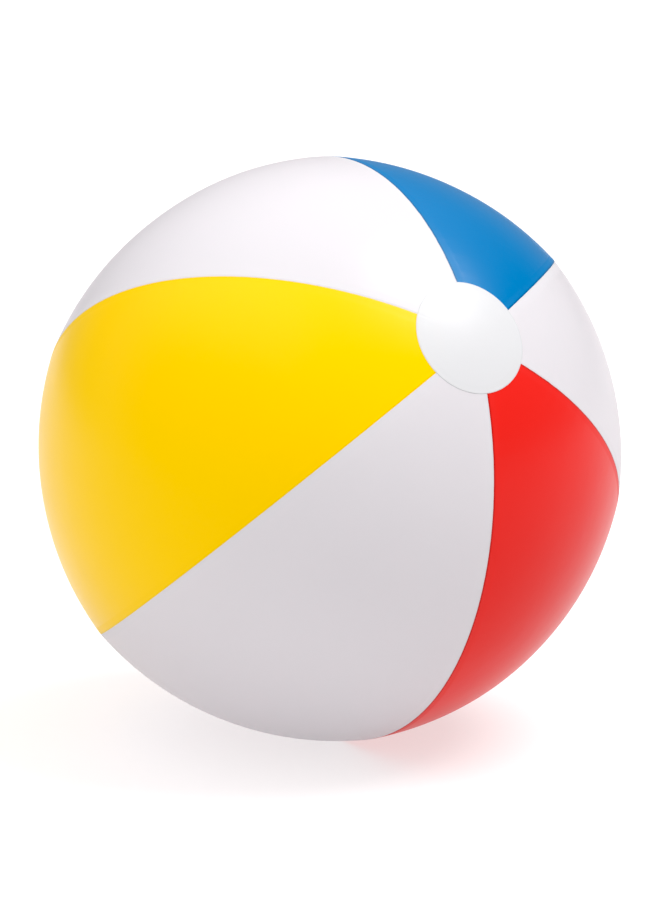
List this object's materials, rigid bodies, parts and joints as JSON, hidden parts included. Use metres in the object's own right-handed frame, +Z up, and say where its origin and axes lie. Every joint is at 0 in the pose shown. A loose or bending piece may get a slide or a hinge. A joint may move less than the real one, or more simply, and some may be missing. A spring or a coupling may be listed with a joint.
{
  "type": "inflatable beach ball",
  "caption": "Inflated beach ball of coloured and white vinyl gores with a welded disc at each pole and a push-in air valve with tethered plug.",
  "frame": {"origin": "centre of the ball", "axes": "+Z up as the ball lies on a floor; the line through both poles leans in the YZ plane, with the blank pole up at the front (-Y) and the valve low at the back (+Y)"},
  "size_m": [0.3844, 0.3911, 0.3898],
  "materials": {
    "vinyl_yellow": "glossy thin film",
    "vinyl_red": "glossy thin film",
    "vinyl_blue": "glossy thin film",
    "vinyl_white": "glossy thin film",
    "disc_white": "glossy thin film",
    "valve_soft": "soft moulded vinyl, slightly milky"
  },
  "bodies": {
    "shell": {"gore_yellow": "vinyl_yellow", "gore_white_1": "vinyl_white", "gore_red": "vinyl_red", "gore_white_2": "vinyl_white", "gore_blue": "vinyl_blue", "gore_white_3": "vinyl_white", "end_disc_front": "disc_white", "end_disc_valve": "disc_white", "valve_flange": "valve_soft", "valve_web": "valve_soft"},
    "stem": {"valve_stem": "valve_soft", "valve_tether": "valve_soft", "flap_hinge": "valve_soft"},
    "plug": {"valve_plug": "valve_soft"},
    "flap": {"check_flap": "valve_soft"}
  },
  "joints": [
    {"name": "stem_travel", "type": "slide", "parent": "shell", "child": "stem", "axis": [0, 0.866, -0.5], "range_m": [0, 0.012], "deforming": ["valve_web"]},
    {"name": "plug_pull", "type": "slide", "parent": "stem", "child": "plug", "axis": [0, 0.866, -0.5], "range_m": [0, 0.01], "deforming": ["valve_tether"]},
    {"name": "flap_swing", "type": "hinge", "parent": "stem", "child": "flap", "pos_m": [0, 0.15954, -0.08587], "axis": [-1, 0, 0], "range_deg": [0, 50], "stiffness_Nm_per_rad": 0.0002, "deforming": ["flap_hinge"]}
  ]
}
